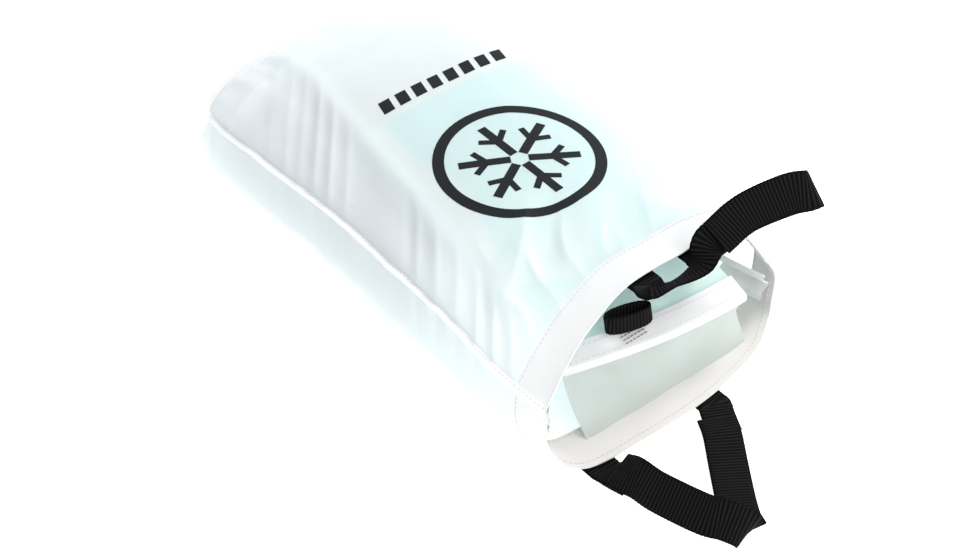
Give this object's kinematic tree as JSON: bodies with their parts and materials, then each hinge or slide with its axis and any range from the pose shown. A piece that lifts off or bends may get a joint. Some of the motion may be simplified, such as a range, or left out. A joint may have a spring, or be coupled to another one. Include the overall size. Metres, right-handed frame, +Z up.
{
  "type": "climbing skin bag",
  "caption": "Soft open-mouthed carry bag lying on its back, with webbing handles, an inner pouch and folded climbing skins stowed inside.",
  "frame": {"origin": "under the middle of the object's bounding box, on the surface that the bag lies on", "axes": "+Z up; +Y from the open mouth to the closed end, along the bag's length; +X across its width, to the right seen from the mouth"},
  "size_m": [0.2403, 0.5386, 0.1171],
  "materials": {
    "bag_cloth": "thin coated ripstop, slightly see-through, soft sheen",
    "hem_lining": "off-white folded hem tape",
    "pouch_mint": "thin mint nylon",
    "pouch_pale": "thin pale nylon",
    "pouch_hem_white": "white folded hem",
    "black_webbing": "ribbed woven webbing, dull",
    "black_thread": "dense black bar tack",
    "skin_plush": "short directional plush",
    "tip_loop_metal": "bent wire, satin",
    "tail_clip_plastic": "moulded, fine grain"
  },
  "bodies": {
    "bag": {"front_panel": "bag_cloth", "back_panel": "bag_cloth", "back_hem": "hem_lining", "left_side_seam": "bag_cloth", "right_side_seam": "bag_cloth", "closed_end_seam": "bag_cloth", "left_corner_ear": "bag_cloth", "right_corner_ear": "bag_cloth", "left_mouth_gusset": "bag_cloth", "right_mouth_gusset": "bag_cloth", "pouch_top": "pouch_mint", "pouch_hem": "pouch_hem_white", "pouch_loop_tack": "black_thread", "back_left_anchor": "black_webbing", "back_right_anchor": "black_webbing"},
    "mouth_lip": {"mouth_lip_panel": "bag_cloth", "front_hem": "hem_lining", "front_left_anchor": "black_webbing", "front_right_anchor": "black_webbing"},
    "front_handle": {"front_handle_grip": "black_webbing", "front_handle_left_tail": "black_webbing", "front_handle_right_tail": "black_webbing"},
    "back_handle": {"back_handle_grip": "black_webbing", "back_handle_left_tail": "black_webbing", "back_handle_right_tail": "black_webbing"},
    "pouch_flap": {"pouch_front": "pouch_pale"},
    "pull_loop": {"pouch_loop": "black_webbing"},
    "left_skin_stack": {"left_skin": "skin_plush", "left_skin_tip_loop": "tip_loop_metal", "left_skin_tail_clip": "tail_clip_plastic"},
    "right_skin_stack": {"right_skin": "skin_plush", "right_skin_tip_loop": "tip_loop_metal", "right_skin_tail_clip": "tail_clip_plastic"}
  },
  "joints": [
    {"name": "mouth_open", "type": "hinge", "parent": "bag", "child": "mouth_lip", "pos_m": [0, -0.029, 0.0655], "axis": [-1, 0, 0], "range_deg": [0, 20]},
    {"name": "front_handle_swing", "type": "hinge", "parent": "mouth_lip", "child": "front_handle", "pos_m": [0, -0.1145, 0.0655], "axis": [-1, 0, 0], "range_deg": [-14, 22]},
    {"name": "back_handle_lift", "type": "hinge", "parent": "bag", "child": "back_handle", "pos_m": [0, -0.1708, 0.001], "axis": [-1, 0, 0], "range_deg": [0, 75]},
    {"name": "pouch_flap_lift", "type": "hinge", "parent": "bag", "child": "pouch_flap", "pos_m": [0, -0.143, 0.0385], "axis": [-1, 0, 0], "range_deg": [0, 24]},
    {"name": "pull_loop_tip", "type": "hinge", "parent": "bag", "child": "pull_loop", "pos_m": [-0.0199, -0.129, 0.0475], "axis": [1, 0, 0], "range_deg": [0, 30]},
    {"name": "left_skin_slide", "type": "slide", "parent": "bag", "child": "left_skin_stack", "axis": [0, -1, 0], "range_m": [0, 0.05]},
    {"name": "right_skin_slide", "type": "slide", "parent": "bag", "child": "right_skin_stack", "axis": [0, -1, 0], "range_m": [0, 0.05]}
  ]
}
